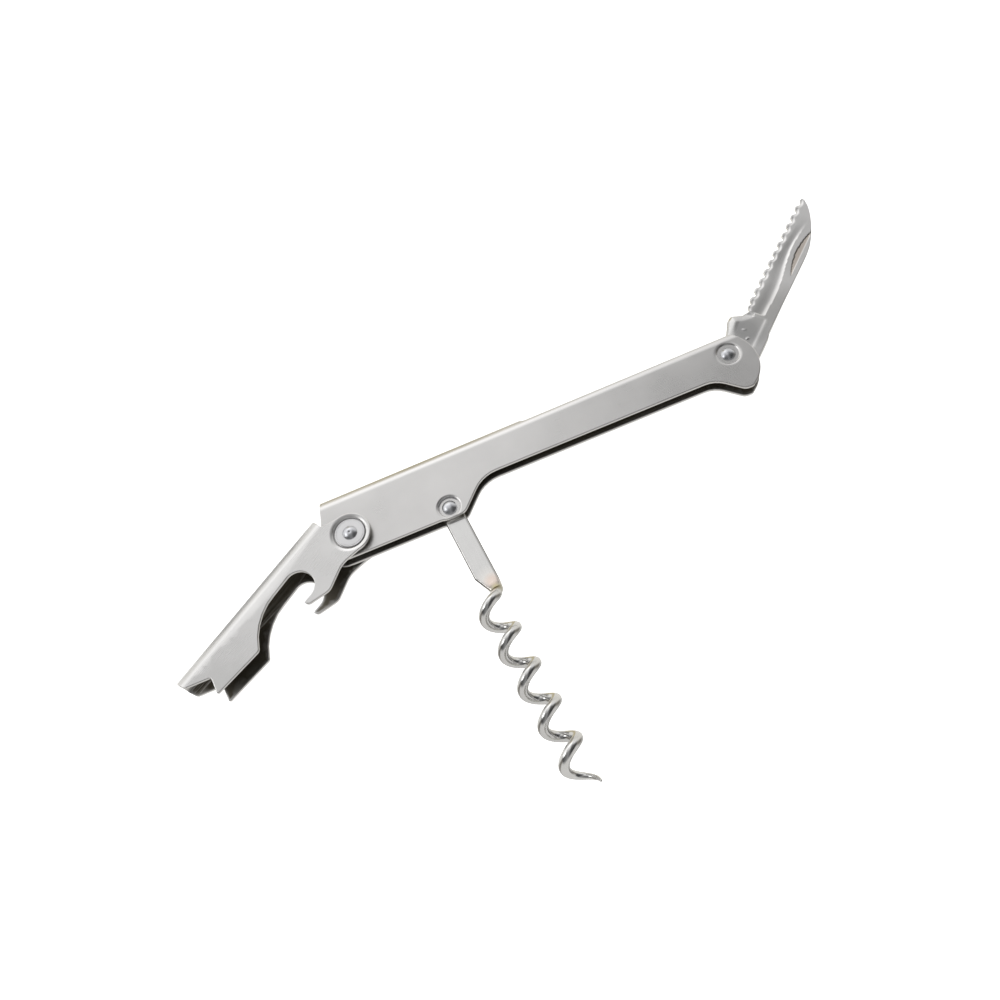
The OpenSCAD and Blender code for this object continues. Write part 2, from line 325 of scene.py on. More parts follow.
def lathe(profile, centre, n=72, flip=1):
    """A turned piece; profile is (radius, height), from the axis outwards and back to it, or a closed ring."""
    verts, faces, normals = [], [], []
    rows = []
    for k, (r, z) in enumerate(profile):
        a = profile[k - 1] if k else profile[k]
        b = profile[k + 1] if k + 1 < len(profile) else profile[k]
        segs = [(q[0] - p[0], q[1] - p[1]) for p, q in ((a, (r, z)), ((r, z), b)) if math.dist(p, q) > 1e-9]
        nr = sum(unit(seg)[1] for seg in segs)
        nz = sum(-unit(seg)[0] for seg in segs)
        row = []
        for i in range(1 if r < 1e-6 else n):
            c, s = math.cos(2 * math.pi * i / n), math.sin(2 * math.pi * i / n)
            row.append(len(verts))
            verts.append((centre[0] + r * c, centre[1] + r * s, centre[2] + flip * z))
            normals.append((nr * c, nr * s, flip * nz) if r > 1e-6 else (0, 0, flip * nz))
        rows.append(row)
    for a, b in zip(rows, rows[1:]):
        for i in range(n):
            j = (i + 1) % n
            quad = [a[i % len(a)], a[j % len(a)], b[j % len(b)], b[i % len(b)]]
            quad = [q for k, q in enumerate(quad) if q != quad[k - 1]]
            if len(set(quad)) > 2:
                faces.append(tuple(quad if flip > 0 else quad[::-1]))
    return verts, faces, normals


def eased(points, step=18.0):
    """A lathe profile whose corners with a radius are rounded, with a holding loop beside each round."""
    out = []
    for i, p in enumerate(points):
        if len(p) == 2 or i in (0, len(points) - 1):
            out.append((p[0], p[1]))
            continue
        arc = corner(points[i - 1], p, points[i + 1], p[2], step)
        u = unit((points[i - 1][0] - p[0], points[i - 1][1] - p[1]))
        w = unit((points[i + 1][0] - p[0], points[i + 1][1] - p[1]))
        hold = 0.02
        out.append((arc[0][0] + u[0] * hold, arc[0][1] + u[1] * hold))
        out += arc
        out.append((arc[-1][0] + w[0] * hold, arc[-1][1] + w[1] * hold))
    return out


# ---------------------------------------------------------------- materials


class Nodes:
    """Short hand for building a node tree."""

    def __init__(self, tree):
        self.tree = tree
        tree.nodes.clear()

    def add(self, kind, inputs=None, **settings):
        node = self.tree.nodes.new(kind)
        for key, value in settings.items():
            setattr(node, key, value)
        for key, value in (inputs or {}).items():
            if isinstance(value, bpy.types.NodeSocket):
                self.tree.links.new(value, node.inputs[key])
            else:
                node.inputs[key].default_value = value
        return node

    def mix(self, factor, a, b):
        """Colour a where factor is 0, colour b where it is 1."""
        return self.add("ShaderNodeMix", {0: factor, 6: a, 7: b}, data_type="RGBA").outputs[2]

    def math(self, operation, a, b):
        return self.add("ShaderNodeMath", {0: a, 1: b}, operation=operation).outputs[0]

    def noise(self, place, scale, detail, roughness):
        settings = {"Vector": place, "Scale": scale, "Detail": detail, "Roughness": roughness}
        return self.add("ShaderNodeTexNoise", settings).outputs["Fac"]

    def attribute(self, name):
        return self.add("ShaderNodeAttribute", attribute_name=name).outputs["Fac"]

    def ramp(self, value, lo, hi, out_lo, out_hi, how="LINEAR"):
        node = self.add(
            "ShaderNodeMapRange",
            {"Value": value, "From Min": lo, "From Max": hi, "To Min": out_lo, "To Max": out_hi},
            clamp=True, interpolation_type=how,
        )
        return node.outputs["Result"]


def grey(v):
    return (v, v, v, 1.0)


def tone(rgb):
    return (rgb[0], rgb[1], rgb[2], 1.0)


# length, width and height of one hair of the grain, in metres
GRAIN_SIZE = (1 / 160, 1 / 8000, 1 / 8000)


def steel(
    name, colour, rim_highlight_colour=None, rough=(0.24, 0.34), grain=0.0, grain_angle=0.0, mottle=0.06, bump=0.02,
    painted_shade_inside=None, tints_and_painted_light=(), wavy=0.2, warm=None
):
    """Stainless sheet or wire: satin roughness with a directional grain, faint mottling, rims painted brighter
    in patches as a highlight.

    grain_angle turns the grain in the plan; the inside colour is painted shade, laid where the mesh's "inner"
    value is 1, and the warm colour is painted shade in a hollow, laid where its "warm" value is 1; tint lists
    patches of colour as (colour, centre, spread), some of them painted light.
    """
    material = bpy.data.materials.new(name)
    material.use_nodes = True
    t = Nodes(material.node_tree)
    place = t.add("ShaderNodeTexCoord").outputs["Object"]
    along = t.add(
        "ShaderNodeMapping",
        {"Vector": place, "Rotation": (0, 0, math.radians(grain_angle)), "Scale": GRAIN_SIZE},
        vector_type="TEXTURE",
    ).outputs["Vector"]
    hair = t.noise(along, 1.0, 4.0, 0.6)
    speck = t.noise(place, 5200.0, 3.0, 0.6)
    cloud = t.noise(place, 70.0, 3.0, 0.5)
    wave = t.noise(place, 110.0, 2.0, 0.4)
    colour_now = t.mix(
        t.ramp(cloud, 0.3, 0.7, 0.0, 1.0),
        tone([c * (1 - mottle) for c in colour]),
        tone([min(1, c * (1 + mottle)) for c in colour]),
    )
    colour_now = t.mix(t.ramp(speck, 0.35, 0.75, 0.0, 0.05), colour_now, tone([c * 0.75 for c in colour]))
    # patches of colour, some of them painted light: painted highlight, painted reflection and painted shade
    for mark, centre, spread in tints_and_painted_light:
        centre = [c * MM for c in centre]
        away = t.add("ShaderNodeVectorMath", {0: place, 1: centre}, operation="SUBTRACT").outputs[0]
        near = t.add("ShaderNodeVectorMath", {0: away}, operation="LENGTH").outputs["Value"]
        near = t.math("ADD", near, t.ramp(cloud, 0.0, 1.0, -0.0008, 0.0008))
        strength = t.ramp(near, spread * 0.35 * MM, spread * MM, 0.8, 0.0)
        colour_now = t.mix(strength, colour_now, tone(mark))
    # painted shade: a darker warm colour in a hollow, where the "warm" value is 1
    if warm:
        colour_now = t.mix(t.attribute("warm"), colour_now, tone(warm))
    # painted highlight: the rims are painted a brighter colour, in patches
    if rim_highlight_colour:
        rim = t.ramp(t.attribute("rim"), 0.2, 0.9, 0.0, 1.0)
        rim_highlight = t.math("MULTIPLY", rim, t.ramp(cloud, 0.3, 0.7, 0.5, 1.0))
        colour_now = t.mix(rim_highlight, colour_now, tone(rim_highlight_colour))
    roughness = t.ramp(hair, 0.3, 0.7, rough[0], rough[1])
    roughness = t.math("ADD", roughness, t.ramp(cloud, 0.3, 0.7, -0.03, 0.04))
    # painted shade: a dark colour where the "inner" value is 1
    if painted_shade_inside:
        inner = t.attribute("inner")
        colour_now = t.mix(inner, colour_now, tone(painted_shade_inside))
        roughness = t.math("ADD", roughness, t.math("MULTIPLY", inner, 0.25))
    height = t.math("ADD", t.math("MULTIPLY", hair, grain), t.math("MULTIPLY", speck, 0.08))
    fine = t.add("ShaderNodeBump", {"Height": height, "Strength": bump, "Distance": 0.0001}).outputs[0]
    broad = t.add("ShaderNodeBump", {"Height": wave, "Strength": wavy, "Distance": 0.0004, "Normal": fine})
    look = {"Base Color": colour_now, "Roughness": roughness, "Metallic": 1.0, "Normal": broad.outputs[0]}
    shader = t.add("ShaderNodeBsdfPrincipled", look)
    t.add("ShaderNodeOutputMaterial", {"Surface": shader.outputs[0]})
    return material


# painted shade for the channels' inner skins
INSIDE_SHADE_BROWN = (0.19, 0.172, 0.14)
# the second colour of each sheet is a painted highlight on its rims
handle_steel = steel(
    "handle_steel", (0.70, 0.693, 0.687), (0.78, 0.77, 0.75), (0.28, 0.32), 0.12, SPINE_RISE,
    painted_shade_inside=INSIDE_SHADE_BROWN, wavy=0.06, bump=0.006
)
lever_steel = steel(
    "lever_steel", (0.74, 0.735, 0.73), (0.80, 0.79, 0.77), (0.27, 0.30), 0.08, LEVER_ANGLE,
    painted_shade_inside=INSIDE_SHADE_BROWN, wavy=0.05, bump=0.006
)
knife_steel = steel(
    "knife_steel", (0.745, 0.74, 0.735), (0.80, 0.80, 0.79), (0.28, 0.34), 0.4, KNIFE_ANGLE,
    # the warm colour is painted shade in the nail nick
    warm=(0.37, 0.335, 0.305), wavy=0.1,
    # the dark grey patch on the tang is painted shade; the second is a broad, slightly darker grey low on the
    # blade's heel
    tints_and_painted_light=[
        ((0.42, 0.42, 0.42), (KNIFE_PIVOT[0] + 8.2, KNIFE_PIVOT[1] + 5.2, MID_Z + 1.0), 6.0),
        ((0.60, 0.595, 0.585), (KNIFE_PIVOT[0] + 17.5, KNIFE_PIVOT[1] + 7.0, MID_Z + 1.0), 10.0),
    ]
)
rivet_steel = steel("rivet_steel", (0.64, 0.65, 0.68), None, (0.26, 0.34), 0.0, 0.0, mottle=0.1)
washer_steel = steel("washer_steel", (0.78, 0.78, 0.79), None, (0.30, 0.42), 0.2, 30.0, bump=0.08)
bush_steel = steel("bush_steel", (0.35, 0.34, 0.33), None, (0.4, 0.5))


def worm_at(s, t, z=0.0):
    """A point of the worm's plan (s down the shank, t across it) in the row frame."""
    x, y = turned((s, t), WORM_ANGLE)
    return (WORM_PIVOT[0] + x, WORM_PIVOT[1] + y, MID_Z + z)


# its inside colour is painted shade along the strap's edges
worm_steel = steel(
    "worm_steel", (0.72, 0.717, 0.71), None, (0.16, 0.22), 0.1, WORM_ANGLE, painted_shade_inside=(0.24, 0.23, 0.215),
    mottle=0.08, bump=0.01, wavy=0.08,
    # a pale painted highlight where the strap starts to narrow, a pink heat stain, and a dark olive painted
    # reflection where the strap turns round into the wire
    tints_and_painted_light=[
        ((0.86, 0.84, 0.81), worm_at(21.8, 0.6, 0.6), 4.0),
        ((0.83, 0.69, 0.61), worm_at(22.7, 1.0, 0.7), 2.6),
        ((0.24, 0.21, 0.08), worm_at(25.0, 1.1, 1.0), 2.1),
    ]
)


# ---------------------------------------------------------------- folded channels


class Channel:
    """A sheet folded round a straight crown into a U, drawn flat as (x, w), w measured round the fold.

    crown is the height of the outside of the fold and width the outside width; the outside of each bend is
    a quarter of an ellipse, bend across the sheet and tall(x) down the side. A dish is (centre x, centre y,
    floor radius, wall's outer radius, shoulder's outer radius, depth).
    """

    def __init__(self, crown, width, bend, tall, dishes, to_row):
        self.crown = crown
        self.flat = width / 2 - bend
        self.mid = bend - SHEET_T / 2
        self.tall = tall
        self.side_z = width / 2 - SHEET_T / 2
        self.fold_end = self.flat + self.mid * math.pi / 2
        self.dishes = dishes
        self.to_row = to_row

    def w_of(self, x, y):
        """Where a height y on the side lies in the flat sheet."""
        tall = self.tall(x) - SHEET_T / 2
        foot = self.crown - SHEET_T / 2 - tall
        if y <= foot:
            return self.fold_end + foot - y
        return self.flat + self.mid * math.acos(min(1.0, (y - foot) / tall))

    def rows(self, count=10):
        sides = [self.flat + self.mid * math.radians(90 * k / count) for k in range(count + 1)]
        return sorted({round(s, 6) for s in sides} | {round(-s, 6) for s in sides} | {0.0})

    def depth(self, x, y, skin):
        total = 0.0
        for cx, cy, r_in, r_wall, r_out, deep in self.dishes:
            r = math.hypot(x - cx, y - cy) + (0.0 if skin > 0 else -0.25)
            wall = 1 - smooth((r - r_in) / (r_wall - r_in))
            shoulder = 1 - smooth((r - r_in) / (r_out - r_in))
            total += deep * (0.7 * wall + 0.3 * shoulder)
        return total

    def place(self, x, w, n):
        s = abs(w)
        skin = n * SHEET_T / 2
        tall = self.tall(x) - SHEET_T / 2
        foot = self.crown - SHEET_T / 2 - tall
        if s <= self.flat:
            y, z = foot + tall + skin, s
        elif s < self.fold_end:
            a = (s - self.flat) / self.mid
            up, out = self.mid * math.cos(a), tall * math.sin(a)
            y = foot + tall * math.cos(a) + skin * up / math.hypot(up, out)
            z = self.flat + self.mid * math.sin(a) + skin * out / math.hypot(up, out)
            z -= self.depth(x, y, skin)
        else:
            y = foot - (s - self.fold_end)
            z = self.side_z + skin - self.depth(x, y, skin)
        return self.to_row(x, y, math.copysign(z, w) if w else z)

    def dish_rings(self, n=96):
        out = []
        for cx, cy, r_in, r_wall, r_out, deep in self.dishes:
            radii = [r_in - 0.2] + [r_in + (r_wall - r_in) * k / 7 for k in range(8)]
            radii += [r_wall + (r_out - r_wall) * k / 4 for k in range(1, 5)] + [r_out + 0.2]
            out += [(cx, side * self.w_of(cx, cy), radii, n) for side in (1, -1)]
        return out


def edge_distance(points, loops):
    """Distance of each plane point from the nearest outline."""
    p = np.array(points)
    best = np.full(len(p), 1e9)
    for loop in loops:
        ring = np.array(loop)
        for a, b in zip(ring, np.roll(ring, -1, axis=0)):
            d = b - a
            t = np.clip((p - a) @ d / max(d @ d, 1e-9), 0, 1)
            best = np.minimum(best, np.linalg.norm(p - a - t[:, None] * d, axis=1))
    return best


def inset_points(loop, gap):
    """Points a gap inside a loop that runs anticlockwise."""
    out = []
    for a, b in zip(loop, loop[1:] + loop[:1]):
        t = unit((b[0] - a[0], b[1] - a[1]))
        out.append(((a[0] + b[0]) / 2 - t[1] * gap, (a[1] + b[1]) / 2 + t[0] * gap))
    return out


def channel_piece(name, channel, contour, hole, edge, material, body, replaces, slot_cut=None):
    """contour is one side's edge in (x, y), from the crown at one end round to the crown or slot's end."""
    near = [(x, channel.w_of(x, y)) for x, y in contour]
    far = [(x, -w) for x, w in reversed(near)]
    loop = thinned(near + (slot_cut or []) + far, 0.03)
    if area(loop) < 0:
        loop = loop[::-1]
    holes = [(cx, side * channel.w_of(cx, cy), r, 32) for cx, cy, r in hole for side in (1, -1)]
    # further vertices beside the edges, along the fold and over the sides, for even shading
    shade = [p for gap in (0.5, 1.0, 1.7) for p in inset_points(loop, gap)]
    start = min(p[0] for p in contour)
    end = max(p[0] for p in contour)
    shade += [(x, w) for w in channel.rows() for x in np.arange(start + 1.5, end, 3.0)]
    deepest = max(abs(p[1]) for p in loop)
    levels = [side * w for w in np.arange(channel.fold_end + 1.1, deepest, 2.1) for side in (1, -1)]
    shade += [(x, w) for w in levels for x in np.arange(start + 0.7, end, 2.3)]

    def rim_radius(x, w):
        return edge if abs(w) > channel.fold_end else 0.12

    verts, faces, normals, rim, plane = sheet_mesh(
        loop, channel.place, lambda x, w: SHEET_T / 2, rim_radius,
        channel.rows(), channel.dish_rings(), holes, shade
    )
    # painted shade: the inner skin is painted dark, except close to the cut edge
    deep = edge_distance(plane, [loop])
    inner = [0.0] * len(plane) + [smooth((d - 0.2) / 0.5) for d in deep]
    inner += [0.0] * (len(verts) - len(inner))
    return make(name, verts, faces, normals, material, body, replaces, {"rim": rim, "inner": inner})


# handle ---------------------------------------------------------------
HANDLE_CROWN = 12.9
HANDLE_W = 4.8
HANDLE_FOLD = 3.3
SLOT_X = 50.5
SLOT_HALF = 1.4


def handle_row(x, y, z):
    px, py = turned((x, y), SPINE_RISE)
    return (px, py, MID_Z + z)


def in_handle(p):
    return turned(p, -SPINE_RISE)


END_C = (103.6, 4.8)
END_R = 9.9
round_end = [polar(END_R, a, *END_C) for a in range(-56, 80, 3)]
handle_edge = rounded(
    [(-4.95, 14.0), (-7.2, 3, 3), (-6.9, -5.85, 3.6), (22.4, -5.85, 3), (24, -6.2, 3), (28.7, -6.2, 3.2),
     (36.2, 1.67, 9), (100.4, 1.67, 7), (106.4, -3.9, 2.6), (108.68, -3.9, 1.2)] + round_end
)
handle_edge = [in_handle(p) for p in handle_edge]
WORM_DISH = (*in_handle(WORM_PIVOT[:2]), 2.6, 2.95, 3.4, 0.82)
KNIFE_DISH = (*in_handle(KNIFE_PIVOT[:2]), 2.75, 3.2, 3.75, 0.32)
handle = Channel(
    HANDLE_CROWN, HANDLE_W, HANDLE_W / 2, lambda x: HANDLE_FOLD, [WORM_DISH, KNIFE_DISH], handle_row
)
left_top, left_next = handle_edge[0], handle_edge[1]
lean = (left_top[0] - left_next[0]) / (left_top[1] - left_next[1])
top_level = HANDLE_CROWN - HANDLE_FOLD
fold_rise = HANDLE_FOLD - SHEET_T / 2
rise = [top_level + fold_rise * math.cos(math.radians(a)) for a in (0, 15, 30, 45, 60, 75, 90)]
start = [(left_next[0] + lean * (y - left_next[1]), y) for y in rise]
slot_angle = math.asin(SLOT_HALF / handle.mid)
slot_y = top_level + fold_rise * math.cos(slot_angle)
contour = start + [p for p in handle_edge[1:] if p[1] < top_level - 0.05 or p[0] > 60]
contour = [p for p in contour if p[1] < slot_y or p[0] < 60]
reach = END_C[0] + math.sqrt(END_R**2 - (slot_y + 1.0 - END_C[1]) ** 2)
contour.append((reach, slot_y))
slot_w = handle.mid * slot_angle
slot_round = [polar(slot_w, a, SLOT_X + slot_w) for a in range(90, 271, 15)]
HANDLE_HOLES = [
    (*in_handle(LEVER_PIVOT[:2]), 1.56),
    (*in_handle(WORM_PIVOT[:2]), 1.26),
    (*in_handle(KNIFE_PIVOT[:2]), 1.26),
]
channel_piece(
    "handle_shell", handle, contour, HANDLE_HOLES, 0.3, handle_steel, "handle",
    ["handle_channel"], slot_round
)

# lever ---------------------------------------------------------------
LEVER_W = 8.4
LEVER_CROWN = 11.4
EAR_R = 5.4


def lever_row(x, y, z):
    px, py = turned((x, -y), LEVER_ANGLE)
    return (LEVER_PIVOT[0] + px, LEVER_PIVOT[1] + py, MID_Z + z)


def lever_fold(x):
    """The lever's sides start to lean in far below the crown, most over the bottle-lip recess."""
    return 4.0 + 2.2 * math.exp(-(((x - 23) / 15) ** 2))


lever = Channel(LEVER_CROWN, LEVER_W, 3.6, lever_fold, [(0.1, 0.1, 3.9, 4.4, 5.25, 0.85)], lever_row)


def on_circle(a, b, r):
    """Where the line from a to b meets the circle of radius r round the origin, nearest their middle."""
    d = (b[0] - a[0], b[1] - a[1])
    qa = d[0] ** 2 + d[1] ** 2
    qb = 2 * (a[0] * d[0] + a[1] * d[1])
    qc = a[0] ** 2 + a[1] ** 2 - r * r
    root = math.sqrt(qb * qb - 4 * qa * qc)
    t = min(((-qb + k * root) / (2 * qa) for k in (1, -1)), key=lambda t: abs(t - 0.5))
    return (a[0] + t * d[0], a[1] + t * d[1])


ear_in = on_circle((3.0, -7.0), (-3.2, -4.4), EAR_R)
ear_out = on_circle((0.4, 5.28), (7.6, 3.95), EAR_R)
a_in = math.degrees(math.atan2(ear_in[1], ear_in[0])) % 360
a_out = math.degrees(math.atan2(ear_out[1], ear_out[0]))
ear = [polar(EAR_R, a_in + (a_out - a_in) * k / 40) for k in range(41)]
lever_edge = (
    [(2.95, -11.4), (2.95, -10.5), (2.95, -9.0)]
    + rounded([(2.95, -8.5), (2.95, -7.2, 0.35), ear_in])
    + ear[1:-1]
    + rounded(
        [ear_out, (7.6, 3.95, 7.0), (14.6, 6.0, 3.2), (20.9, 3.8, 1.1), (20.35, 2.6, 0.45),
         (14.35, 2.75, 3.7), (14.35, -5.35, 3.9), (30.9, -5.1, 16), (36.2, 1.6, 1.3), (50.1, 0.4, 0.5),
         (48.1, -3.9, 0.7), (53.75, -7.4, 1.6), (54.2, -9.5), (54.3, -11.4)]
    )
)
# the plan's v runs away from the crown, so heights are its negative
channel_piece(
    "lever_shell", lever, [(u, -v) for u, v in lever_edge], [(0.0, 0.0, 1.5)], 0.28,
    lever_steel, "lever", ["lever_channel"]
)

# ---------------------------------------------------------------- rivets, washers

DISH = 0.85
washer = eased(
    [(1.6, 0.0), (3.8, 0.0, 0.08), (3.8, 0.5, 0.14), (3.5, 0.5, 0.1), (3.42, 0.47, 0.08), (3.34, 0.5, 0.1),
     (1.5, 0.5, 0.05), (1.5, 0.0, 0.05), (1.6, 0.0)]
)
for side, flip, level in (("front", 1, 2 * MID_Z - DISH), ("back", -1, DISH)):
    v, f, nrm = lathe(washer, (LEVER_PIVOT[0], LEVER_PIVOT[1], level), flip=flip)
    make("washer_" + side, v, f, nrm, washer_steel, "lever", ["lever_washer_" + side])


DOME_EDGE = 62


def domed(seat, dome=0.95, r=1.9, pit=0.0):
    """Profile of a rivet with two domed heads whose seats are at +seat and -seat."""
    edge_sin, edge_cos = math.sin(math.radians(DOME_EDGE)), math.cos(math.radians(DOME_EDGE))
    bulge = []
    for a in range(DOME_EDGE, -1, -6):
        rise = (math.cos(math.radians(a)) - edge_cos) / (1 - edge_cos)
        bulge.append((r * math.sin(math.radians(a)) / edge_sin, dome * rise))
    bulge[-1] = (0.0, dome)
    top = [(1.25, seat), (1.7, seat), (1.84, seat + 0.03), (1.91, seat + 0.12), (1.9, seat + 0.2)]
    top += [(br * 0.985, seat + 0.16 + bz * (dome - 0.16) / dome) for br, bz in bulge[1:]]
    if pit:
        top = [p for p in top if p[0] > pit + 0.12]
        level = top[-1][1]
        top += [(pit, level + 0.01), (pit * 0.8, level - 0.05)]
        top += [(pit * 0.4, level - 0.16), (0.0, level - 0.2)]
    low = [(p[0], -p[1]) for p in reversed(top)]
    return low + top


for name, pivot, node, body, seat, dome, pit in (
    ("lever_pin", LEVER_PIVOT, "lever_rivet", "lever", MID_Z - 0.5, 0.85, 0.28),
    ("worm_pin", WORM_PIVOT, "worm_rivet", "handle", HANDLE_W / 2 - 0.825, 0.95, 0.0),
    ("knife_pin", KNIFE_PIVOT, "knife_rivet", "handle", 2.0, 0.95, 0.0),
):
    v, f, nrm = lathe(domed(seat, dome, 1.9, pit), (pivot[0], pivot[1], MID_Z))
    make(name, v, f, nrm, rivet_steel, body, [node])

# ---------------------------------------------------------------- worm

SHANK_HALF = 2.725
SHANK_THIN = 0.625
WIRE_R = 1.32
HELIX_R = 2.95
HELIX_T = -2.25
HELIX_S = 25.75
PITCH = 10.0
TURNS = 5
LEAN = 0.9
JOIN_S = 3.4
ACROSS = 10
STRAP_EDGE = 0.5


def helix_point(a):
    r = math.radians(a)
    x, y = turned((PITCH * a / 360, HELIX_R * math.cos(r)), LEAN)
    left = 1 - min(1.0, (360 * TURNS - a) / 130)
    return Vector((HELIX_S + x + 1.0 * left * left, HELIX_T + y, HELIX_R * math.sin(r)))


def helix_dir(a):
    return (helix_point(a + 0.5) - helix_point(a - 0.5)).normalized()


def section(across, thick, square):
    """Closed cross-section: square 1 is the flat strap, 0 a round wire. Same number of points for both."""
    inner = across - STRAP_EDGE

    def side(way, alphas):
        points = []
        for alpha in alphas:
            s, c = math.sin(math.radians(abs(alpha))), math.cos(math.radians(abs(alpha)))
            level = (thick - STRAP_EDGE) + STRAP_EDGE * abs(c)
            points.append((way * (inner + STRAP_EDGE * s), -level if alpha < 0 or alpha > 90 else level))
        return points

    flat = [(-inner + 2 * inner * i / ACROSS, thick) for i in range(ACROSS + 1)] + side(1, RIM)
    flat += [(inner - 2 * inner * i / ACROSS, -thick) for i in range(ACROSS + 1)] + side(-1, RIM[::-1])
    # round the wire the strap's points keep their order: 110 degrees above and below, 70 at each side
    gaps = len(RIM) + 1
    angles = [145 - 110 * i / ACROSS for i in range(ACROSS + 1)]
    angles += [35 - 70 * k / gaps for k in range(1, gaps)]
    angles += [-35 - 110 * i / ACROSS for i in range(ACROSS + 1)]
    angles += [-145 - 70 * k / gaps for k in range(1, gaps)]
    out = []
    for (x, y), a in zip(flat, angles):
        rx, ry = across * math.cos(math.radians(a)), thick * math.sin(math.radians(a))
        out.append((x * square + rx * (1 - square), y * square + ry * (1 - square)))
    return out


HELIX_FROM = 42.0
STRAP_END = Vector((24.4, 0.84, 0.0))
STRAP_WAY = Vector((1, 0.02, 0.06)).normalized()
BEND_PULL = 3.0


def across_helix(a, d):
    """Unit vector away from the helix's axis, square to its direction d."""
    out = Vector((0, math.cos(math.radians(a)), math.sin(math.radians(a))))
    return (out - d * out.dot(d)).normalized()


def strap_rings():
    """The strap, and the run of its left side in to the wire."""
    # each row is (s, left side, right side, half the thickness, square)
    rows = [(s, -SHANK_HALF, SHANK_HALF, SHANK_THIN, 1.0) for s in (JOIN_S, 8.0, 13.0, 18.0, 19.4, 19.9)]
    rows += [
        (20.3, -2.62, 2.725, 0.625, 1.0), (20.9, -2.35, 2.725, 0.63, 1.0), (21.6, -2.05, 2.72, 0.66, 0.97),
        (22.4, -1.72, 2.71, 0.72, 0.9), (23.2, -1.38, 2.69, 0.8, 0.78), (23.9, -1.08, 2.62, 0.9, 0.6),
    ]
    out = []
    for s, left, right, thin, square in rows:
        centre = Vector((s, (left + right) / 2, 0))
        out.append((centre, Vector((0, 1, 0)), Vector((0, 0, 1)), section((right - left) / 2, thin, square)))
    return out


def bend_rings():
    """The twist from the strap's end to the helix, along a Hermite curve."""
    p0, d0 = STRAP_END, STRAP_WAY
    p1, d1 = helix_point(HELIX_FROM), helix_dir(HELIX_FROM)
    radial = Vector((0, math.cos(math.radians(HELIX_FROM)), math.sin(math.radians(HELIX_FROM))))
    m = BEND_PULL
    out = []
    for k in range(1, 8):
        q = k / 8
        h00, h10 = 2 * q**3 - 3 * q**2 + 1, q**3 - 2 * q**2 + q
        h01, h11 = 3 * q**2 - 2 * q**3, q**3 - q**2
        c = p0 * h00 + d0 * (m * h10) + p1 * h01 + d1 * (m * h11)
        d = p0 * (6 * q**2 - 6 * q) + d0 * (m * (3 * q**2 - 4 * q + 1))
        d = (d + p1 * (6 * q - 6 * q**2) + d1 * (m * (3 * q**2 - 2 * q))).normalized()
        lean_out = Vector((0, 1, 0)).lerp(radial, smooth(q))
        n1 = (lean_out - d * lean_out.dot(d)).normalized()
        wide = 1.7 + (WIRE_R - 1.7) * smooth(q * 1.2)
        thick = 0.96 + (WIRE_R - 0.96) * smooth(q * 1.2)
        out.append((c, n1, d.cross(n1), section(wide, thick, 0.5 * (1 - smooth(q * 1.3)))))
    return out


def helix_rings():
    """The helix, thinning to its point over the last half turn."""
    last = 360 * TURNS
    steps = int((last - HELIX_FROM) / 11.25)
    out = []
    for i in range(steps + 1):
        a = HELIX_FROM + (last - HELIX_FROM) * i / steps
        left = min(1.0, (last - a) / 190)
        r = WIRE_R * (0.22 + 0.78 * left**0.75)
        d = helix_dir(a)
        n1 = across_helix(a, d)
        out.append((helix_point(a), n1, d.cross(n1), section(r, r, 0.0)))
    tip = out[-1]
    d = helix_dir(last)
    for reach, share in ((0.12, 0.85), (0.2, 0.5), (0.24, 0.12)):
        out.append((tip[0] + d * reach, tip[1], tip[2], [(x * share, y * share) for x, y in tip[3]]))
    return out


# rings are (centre, across axis, thickness axis, section) in the worm's plan
rings = strap_rings() + bend_rings() + helix_rings()
size = len(rings[0][3])
verts, faces = [], []
for c, n1, n2, shape in rings:
    for x, y in shape:
        p = c + n1 * x + n2 * y
        verts.append(worm_at(p.x, p.y, p.z))
for k in range(len(rings) - 1):
    for i in range(size):
        j = (i + 1) % size
        faces.append((k * size + i, (k + 1) * size + i, (k + 1) * size + j, k * size + j))
faces.append(tuple(range((len(rings) - 1) * size, len(rings) * size))[::-1])
# the eye: a flat end with its hole, cut square and bridged on to the first ring of the strap
eye_loop = [polar(SHANK_HALF, a) for a in range(90, 271, 6)]
eye_loop += [(JOIN_S, -SHANK_HALF), (JOIN_S, SHANK_HALF)]
ev, ef = sheet_mesh(
    eye_loop, lambda x, y, n: worm_at(x, y, n * SHANK_THIN), lambda x, y: SHANK_THIN,
    lambda x, y: STRAP_EDGE, holes=[(0.0, 0.0, 1.3, 32)]
)[:2]


def add_shell(bm, verts, faces):
    made = [bm.verts.new(v) for v in verts]
    for face in faces:
        bm.faces.new([made[i] for i in face])


bm = bmesh.new()
add_shell(bm, ev, ef)
cut = JOIN_S - 0.5
along = Vector(worm_at(1, 0)) - Vector(worm_at(0, 0))
everything = bm.verts[:] + bm.edges[:] + bm.faces[:]
bmesh.ops.bisect_plane(bm, geom=everything, plane_co=worm_at(cut, 0), plane_no=along, clear_outer=True)
add_shell(bm, verts, faces)
bmesh.ops.bridge_loops(bm, edges=[e for e in bm.edges if e.is_boundary])
bmesh.ops.recalc_face_normals(bm, faces=bm.faces[:])
bm.verts.index_update()
verts = [tuple(v.co) for v in bm.verts]
faces = [tuple(v.index for v in f.verts) for f in bm.faces]
bm.free()
